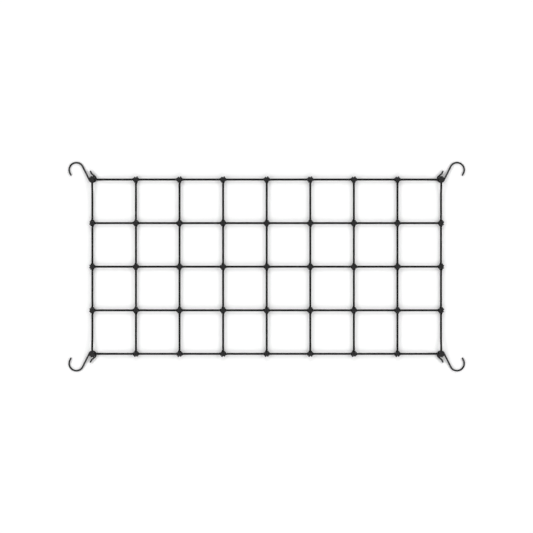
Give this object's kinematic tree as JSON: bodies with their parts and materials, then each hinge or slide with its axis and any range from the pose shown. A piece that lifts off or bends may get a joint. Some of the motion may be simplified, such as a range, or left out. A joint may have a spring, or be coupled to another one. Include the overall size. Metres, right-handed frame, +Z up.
{
  "type": "elastic cargo net",
  "caption": "Rectangular net of knotted elastic cord in square meshes, with a bent wire hook at each corner to hang over a rail or rim.",
  "frame": {"origin": "on the ground under the middle of the net, which lies flat on its knots", "axes": "+X along the net's longer side, +Y across it from front to back, +Z up from the ground through the net"},
  "size_m": [1.041, 0.5502, 0.0156],
  "materials": {
    "elastic_cord": "braided polyester sheath, near black, slightly glossy, over a rubber core",
    "hook_wire": "dark gunmetal plating, satin, on round steel wire"
  },
  "bodies": {
    "middle_cord": {"column_cord_5": "elastic_cord"},
    "right_panel_1": {"row_cord_1_span_5": "elastic_cord", "row_cord_2_span_5": "elastic_cord", "row_cord_3_span_5": "elastic_cord", "row_cord_4_span_5": "elastic_cord", "row_cord_5_span_5": "elastic_cord", "column_cord_6": "elastic_cord"},
    "right_panel_2": {"row_cord_1_span_6": "elastic_cord", "row_cord_2_span_6": "elastic_cord", "row_cord_3_span_6": "elastic_cord", "row_cord_4_span_6": "elastic_cord", "row_cord_5_span_6": "elastic_cord", "column_cord_7": "elastic_cord"},
    "right_panel_3": {"row_cord_1_span_7": "elastic_cord", "row_cord_2_span_7": "elastic_cord", "row_cord_3_span_7": "elastic_cord", "row_cord_4_span_7": "elastic_cord", "row_cord_5_span_7": "elastic_cord", "column_cord_8": "elastic_cord"},
    "right_panel_4": {"row_cord_1_span_8": "elastic_cord", "row_cord_2_span_8": "elastic_cord", "row_cord_3_span_8": "elastic_cord", "row_cord_4_span_8": "elastic_cord", "row_cord_5_span_8": "elastic_cord", "column_cord_9": "elastic_cord"},
    "left_panel_1": {"row_cord_1_span_4": "elastic_cord", "row_cord_2_span_4": "elastic_cord", "row_cord_3_span_4": "elastic_cord", "row_cord_4_span_4": "elastic_cord", "row_cord_5_span_4": "elastic_cord", "column_cord_4": "elastic_cord"},
    "left_panel_2": {"row_cord_1_span_3": "elastic_cord", "row_cord_2_span_3": "elastic_cord", "row_cord_3_span_3": "elastic_cord", "row_cord_4_span_3": "elastic_cord", "row_cord_5_span_3": "elastic_cord", "column_cord_3": "elastic_cord"},
    "left_panel_3": {"row_cord_1_span_2": "elastic_cord", "row_cord_2_span_2": "elastic_cord", "row_cord_3_span_2": "elastic_cord", "row_cord_4_span_2": "elastic_cord", "row_cord_5_span_2": "elastic_cord", "column_cord_2": "elastic_cord"},
    "left_panel_4": {"row_cord_1_span_1": "elastic_cord", "row_cord_2_span_1": "elastic_cord", "row_cord_3_span_1": "elastic_cord", "row_cord_4_span_1": "elastic_cord", "row_cord_5_span_1": "elastic_cord", "column_cord_1": "elastic_cord"},
    "hook_back_left": {"hook_back_left": "hook_wire"},
    "hook_back_right": {"hook_back_right": "hook_wire"},
    "hook_front_left": {"hook_front_left": "hook_wire"},
    "hook_front_right": {"hook_front_right": "hook_wire"}
  },
  "joints": [
    {"name": "right_fold_1", "type": "hinge", "parent": "middle_cord", "child": "right_panel_1", "pos_m": [0, 0, 0.007], "axis": [0, -1, 0], "range_deg": [0, 60]},
    {"name": "right_fold_2", "type": "hinge", "parent": "right_panel_1", "child": "right_panel_2", "pos_m": [0.1143, 0, 0.007], "axis": [0, -1, 0], "range_deg": [0, 60]},
    {"name": "right_fold_3", "type": "hinge", "parent": "right_panel_2", "child": "right_panel_3", "pos_m": [0.2286, 0, 0.007], "axis": [0, -1, 0], "range_deg": [0, 60]},
    {"name": "right_fold_4", "type": "hinge", "parent": "right_panel_3", "child": "right_panel_4", "pos_m": [0.3429, 0, 0.007], "axis": [0, -1, 0], "range_deg": [0, 60]},
    {"name": "left_fold_1", "type": "hinge", "parent": "middle_cord", "child": "left_panel_1", "pos_m": [0, 0, 0.007], "axis": [0, -1, 0], "range_deg": [-60, 0]},
    {"name": "left_fold_2", "type": "hinge", "parent": "left_panel_1", "child": "left_panel_2", "pos_m": [-0.1143, 0, 0.007], "axis": [0, -1, 0], "range_deg": [-60, 0]},
    {"name": "left_fold_3", "type": "hinge", "parent": "left_panel_2", "child": "left_panel_3", "pos_m": [-0.2286, 0, 0.007], "axis": [0, -1, 0], "range_deg": [-60, 0]},
    {"name": "left_fold_4", "type": "hinge", "parent": "left_panel_3", "child": "left_panel_4", "pos_m": [-0.3429, 0, 0.007], "axis": [0, -1, 0], "range_deg": [-60, 0]},
    {"name": "hook_back_left_swivel", "type": "hinge", "parent": "left_panel_4", "child": "hook_back_left", "pos_m": [-0.4568, 0.2306, 0.0071], "axis": [-0.0363, 0.0722, 0.9967], "range_deg": [-40, 40]},
    {"name": "hook_back_right_swivel", "type": "hinge", "parent": "right_panel_4", "child": "hook_back_right", "pos_m": [0.4568, 0.2306, 0.0071], "axis": [-0.0363, -0.0722, -0.9967], "range_deg": [-40, 40]},
    {"name": "hook_front_left_swivel", "type": "hinge", "parent": "left_panel_4", "child": "hook_front_left", "pos_m": [-0.4568, -0.2306, 0.0071], "axis": [0.0363, 0.0722, -0.9967], "range_deg": [-40, 40]},
    {"name": "hook_front_right_swivel", "type": "hinge", "parent": "right_panel_4", "child": "hook_front_right", "pos_m": [0.4568, -0.2306, 0.0071], "axis": [0.0363, -0.0722, 0.9967], "range_deg": [-40, 40]}
  ]
}
